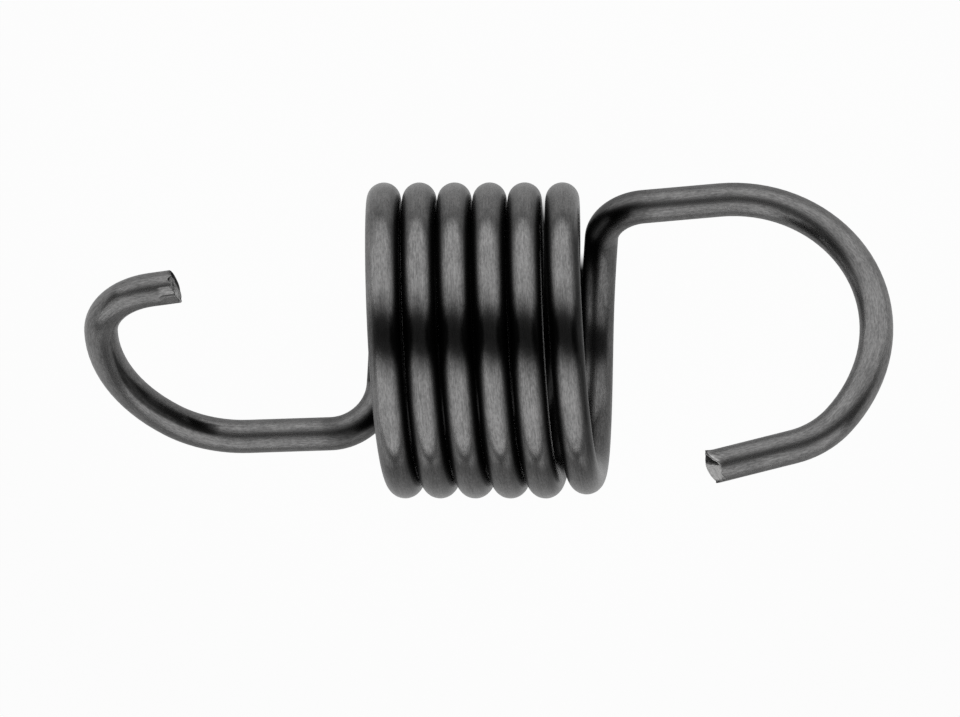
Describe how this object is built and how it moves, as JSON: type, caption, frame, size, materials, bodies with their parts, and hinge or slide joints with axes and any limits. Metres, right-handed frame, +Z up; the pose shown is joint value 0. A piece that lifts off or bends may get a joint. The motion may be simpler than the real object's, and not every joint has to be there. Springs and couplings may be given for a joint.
{
  "type": "extension spring",
  "caption": "Short close-wound extension spring of round wire with an offset side hook at each end, for pulling two parts together.",
  "frame": {"origin": "on the plane that the spring lies on, under the middle of its overall length and under the axis of the coil", "axes": "+X along the axis of the coil toward the hook with the longer way round (the right hook), +Z up as the spring lies at rest"},
  "size_m": [0.0384, 0.015, 0.015],
  "materials": {
    "spring_wire": "dark grey drawn spring wire with a satin sheen, fine lines along the wire, and bare sheared ends"
  },
  "bodies": {
    "root": {"spring": "spring_wire"}
  },
  "joints": []
}
